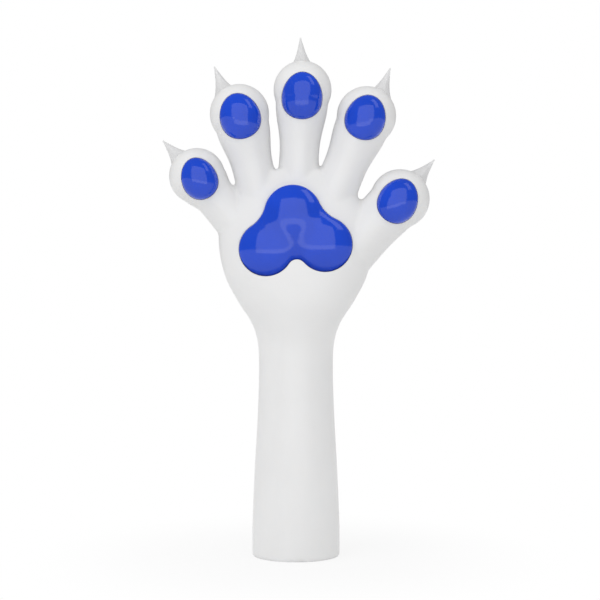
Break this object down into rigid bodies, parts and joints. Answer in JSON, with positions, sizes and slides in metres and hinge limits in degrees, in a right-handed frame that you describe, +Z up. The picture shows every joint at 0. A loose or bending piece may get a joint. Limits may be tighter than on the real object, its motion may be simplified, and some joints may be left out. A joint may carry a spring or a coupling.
{
  "type": "paw-shaped pet scratcher",
  "caption": "Hand-held pet scratcher shaped as an open cat paw on a round handle, with soft blue pads, small claws and a pull-out end bung.",
  "frame": {"origin": "centre of the flat base face of the handle", "axes": "+Z up the handle to the claws; the palm with its pads faces -Y; +X to the right of someone looking at the palm"},
  "size_m": [0.1259, 0.037, 0.2386],
  "materials": {
    "shell": "satin",
    "pad": "gloss",
    "claw": "satin, slightly translucent",
    "screw": "zinc plated",
    "bung": "matt"
  },
  "bodies": {
    "paw": {"palm_shell": "shell", "back_shell": "shell", "palm_pad": "pad", "toe_pad_1": "pad", "toe_pad_2": "pad", "toe_pad_3": "pad", "toe_pad_4": "pad", "toe_pad_5": "pad", "claw_1": "claw", "claw_2": "claw", "claw_3": "claw", "claw_4": "claw", "claw_5": "claw", "shell_screws": "screw"},
    "bung": {"end_plug": "bung"}
  },
  "joints": [
    {"name": "bung_pull", "type": "slide", "parent": "paw", "child": "bung", "axis": [0, 0, -1], "range_m": [0, 0.022]}
  ]
}
